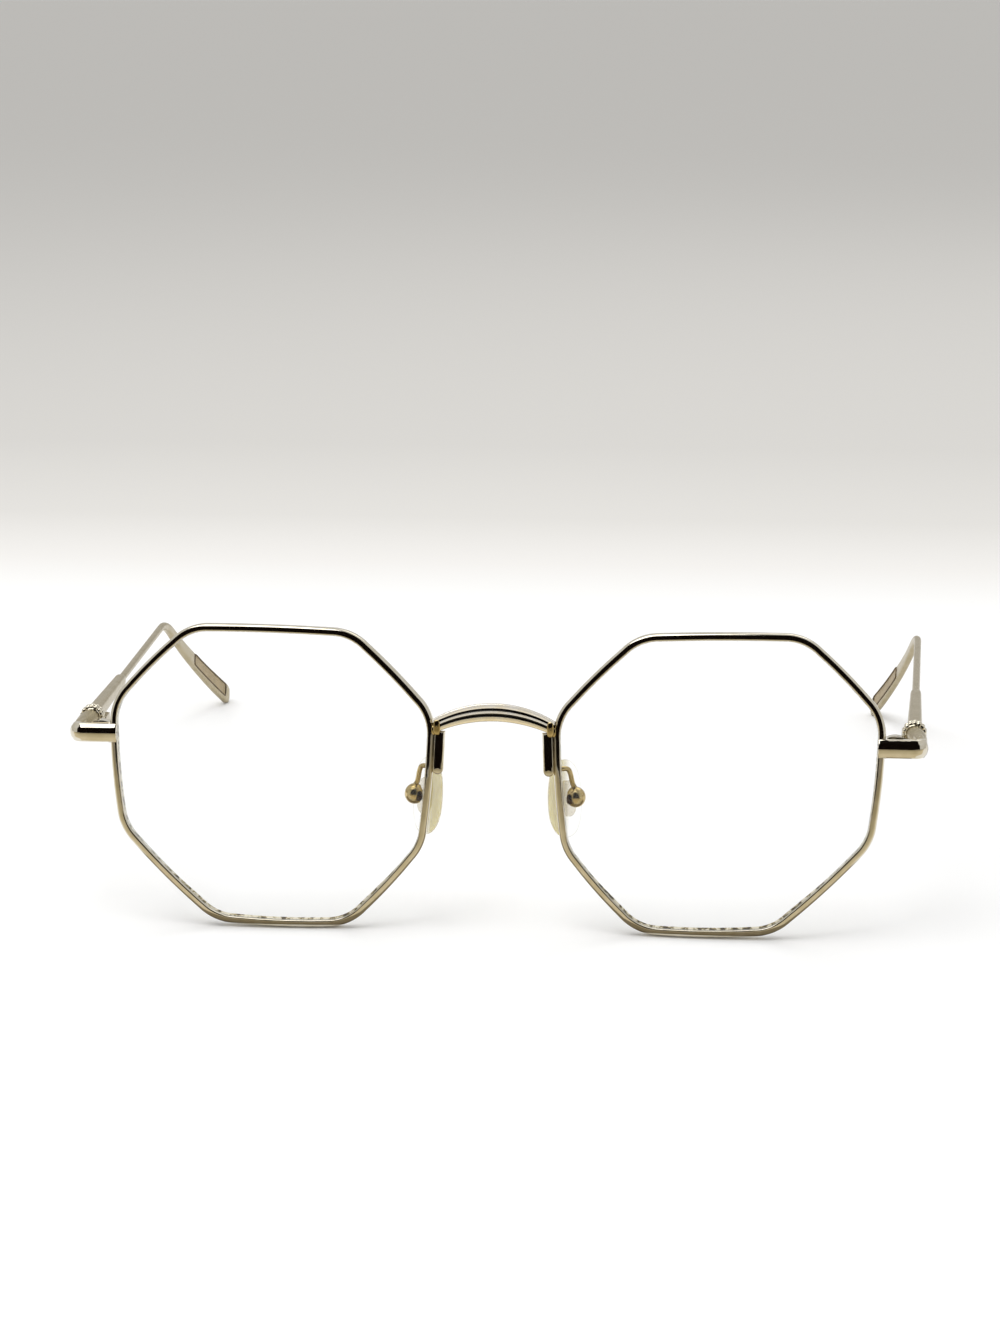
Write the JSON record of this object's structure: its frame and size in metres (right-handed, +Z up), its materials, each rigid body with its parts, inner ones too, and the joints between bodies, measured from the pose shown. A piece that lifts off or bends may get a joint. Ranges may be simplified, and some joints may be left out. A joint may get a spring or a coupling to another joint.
{
  "type": "eyeglasses",
  "caption": "Octagonal wire-rim eyeglasses with clear lenses, a reeded bridge, swivelling silicone nose pads and slim folding temples that end in flat drop tips",
  "frame": {"origin": "middle of the whole open frame on the table, under the line half way between the front and the temple tips", "axes": "+X to the wearer's left, +Y from the front back to the temple tips, +Z up"},
  "size_m": [0.147, 0.1377, 0.0486],
  "materials": {
    "gold_metal": "polished, thinly plated in a pale champagne gold",
    "lens_clear": "clear, polished on both faces",
    "silicone": "clear soft silicone with a smooth skin",
    "pad_insert": "stiff clear plastic insert, slightly yellow",
    "screw_steel": "small turned screws, plated like the frame"
  },
  "bodies": {
    "front": {"bridge": "gold_metal", "rim_right": "gold_metal", "rim_left": "gold_metal", "lens_right": "lens_clear", "lens_left": "lens_clear", "pad_leg_right": "gold_metal", "pad_leg_left": "gold_metal", "pad_wire_right": "gold_metal", "pad_wire_left": "gold_metal", "pad_box_right": "gold_metal", "pad_box_left": "gold_metal", "pad_pin_right": "screw_steel", "pad_pin_left": "screw_steel", "end_piece_right": "gold_metal", "end_piece_left": "gold_metal", "front_collar_right": "gold_metal", "front_collar_left": "gold_metal", "block_upper_right": "gold_metal", "block_upper_left": "gold_metal", "block_lower_right": "gold_metal", "block_lower_left": "gold_metal", "lock_screw_right": "screw_steel", "lock_screw_left": "screw_steel", "hinge_front_right": "gold_metal", "hinge_front_left": "gold_metal", "hinge_screw_right": "screw_steel", "hinge_screw_left": "screw_steel"},
    "temple_right": {"hinge_temple_right": "gold_metal", "temple_collar_right": "gold_metal", "temple_front_right": "gold_metal", "temple_wire_right": "gold_metal", "temple_tip_right": "gold_metal"},
    "temple_left": {"hinge_temple_left": "gold_metal", "temple_collar_left": "gold_metal", "temple_front_left": "gold_metal", "temple_wire_left": "gold_metal", "temple_tip_left": "gold_metal"},
    "nose_pad_right": {"pad_core_right": "pad_insert", "nose_pad_right": "silicone"},
    "nose_pad_left": {"pad_core_left": "pad_insert", "nose_pad_left": "silicone"}
  },
  "joints": [
    {"name": "temple_hinge_right", "type": "hinge", "parent": "front", "child": "temple_right", "pos_m": [0.06365, -0.05378, 0.0284], "axis": [0.005, 0.0713, 0.9974], "range_deg": [0, 92]},
    {"name": "temple_hinge_left", "type": "hinge", "parent": "front", "child": "temple_left", "pos_m": [-0.06365, -0.05378, 0.0284], "axis": [0.005, -0.0713, -0.9974], "range_deg": [0, 82]},
    {"name": "pad_swivel_right", "type": "hinge", "parent": "front", "child": "nose_pad_right", "pos_m": [0.01295, -0.0614, 0.02091], "axis": [-0.0867, 0.1826, 0.9794], "range_deg": [-8, 8]},
    {"name": "pad_swivel_left", "type": "hinge", "parent": "front", "child": "nose_pad_left", "pos_m": [-0.01295, -0.0614, 0.02091], "axis": [-0.0867, -0.1826, -0.9794], "range_deg": [-8, 8]}
  ]
}
